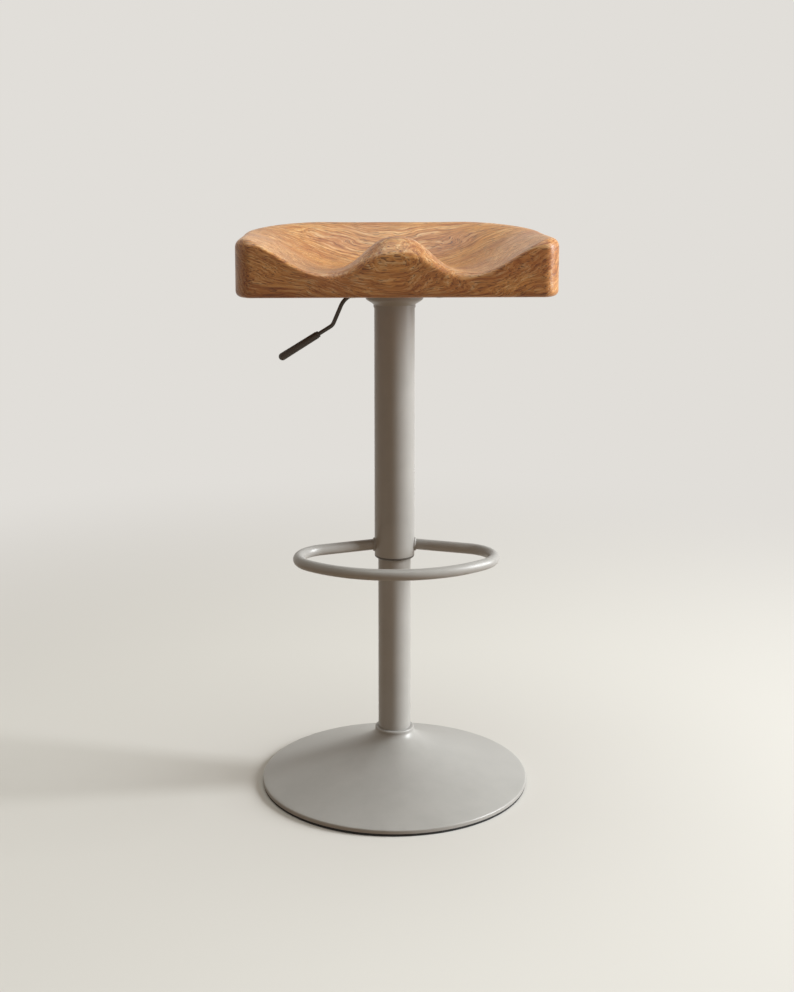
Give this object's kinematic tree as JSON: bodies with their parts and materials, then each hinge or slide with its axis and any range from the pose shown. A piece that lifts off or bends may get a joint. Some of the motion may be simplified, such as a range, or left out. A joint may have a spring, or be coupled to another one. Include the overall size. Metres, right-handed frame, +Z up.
{
  "type": "tractor seat stool",
  "caption": "Swivel stool with a carved saddle seat, a gas-lift column with a release lever, a D-shaped foot ring and a round trumpet base.",
  "frame": {"origin": "on the floor, at the axis of the column, which is also the middle of the base", "axes": "+Z up along the column; the open front of the seat and the foot ring face -Y; the release lever points to -X. Stored with the seat at the top of its travel."},
  "size_m": [0.446, 0.4, 0.8395],
  "materials": {
    "oiled_hardwood": "oiled satin, wavy grain across the seat",
    "grey_satin_paint": "satin",
    "dark_grey_paint": "satin",
    "moulded_grip_plastic": "matte",
    "black_rubber": "matte",
    "black_acetal": "matte",
    "white_acetal": "matte",
    "zinc_plated_steel": "zinc plated",
    "bare_steel": "mill finish",
    "black_gas_cylinder": "gloss",
    "hard_chrome": "polished",
    "ballast_iron": "as cast",
    "brass": "machined"
  },
  "bodies": {
    "base": {"floor_ring": "black_rubber", "base_shell": "grey_satin_paint", "ballast_plate": "ballast_iron", "base_washer": "zinc_plated_steel", "base_bolt": "zinc_plated_steel", "tube_foot": "bare_steel", "stand_tube": "grey_satin_paint", "neck_ring": "grey_satin_paint", "guide_bush": "black_acetal", "anchor_plate": "bare_steel", "lower_race": "hard_chrome", "thrust_balls": "hard_chrome", "ball_cage": "white_acetal"},
    "rod": {"upper_race": "hard_chrome", "bump_stop": "black_rubber", "rod_clip": "zinc_plated_steel", "piston_rod": "hard_chrome", "piston": "bare_steel", "piston_ring": "white_acetal"},
    "seat_column": {"pressure_tube": "black_gas_cylinder", "rod_guide": "black_acetal", "rod_seal": "black_rubber", "valve_body": "bare_steel", "taper_socket": "bare_steel", "outer_sleeve": "grey_satin_paint", "sleeve_collar": "grey_satin_paint", "sleeve_bush": "black_acetal", "foot_ring": "grey_satin_paint", "seat_plate": "grey_satin_paint", "seat_washers": "zinc_plated_steel", "seat_screws": "zinc_plated_steel", "seat_inserts": "brass", "seat": "oiled_hardwood", "lever_bush": "black_acetal"},
    "lever": {"lever_rod": "dark_grey_paint", "lever_ferrule": "dark_grey_paint", "lever_grip": "moulded_grip_plastic"},
    "valve_pin": {"release_pin": "hard_chrome"}
  },
  "joints": [
    {"name": "swivel", "type": "hinge", "parent": "base", "child": "rod", "pos_m": [0, 0, 0.0685], "axis": [0, 0, 1], "continuous": true},
    {"name": "height_slide", "type": "slide", "parent": "rod", "child": "seat_column", "axis": [0, 0, 1], "range_m": [-0.215, 0]},
    {"name": "lever_lift", "type": "hinge", "parent": "seat_column", "child": "lever", "pos_m": [-0.04175, 0, 0.7425], "axis": [0, 1, 0], "range_deg": [0, 5], "stiffness_Nm_per_rad": 10, "springref_deg": -5.73},
    {"name": "pin_press", "type": "slide", "parent": "seat_column", "child": "valve_pin", "axis": [0, 0, -1], "range_m": [0, 0.004]}
  ],
  "couplings": [
    {"joint": "pin_press", "follows": "lever_lift", "m_per_rad": 0.04469}
  ]
}
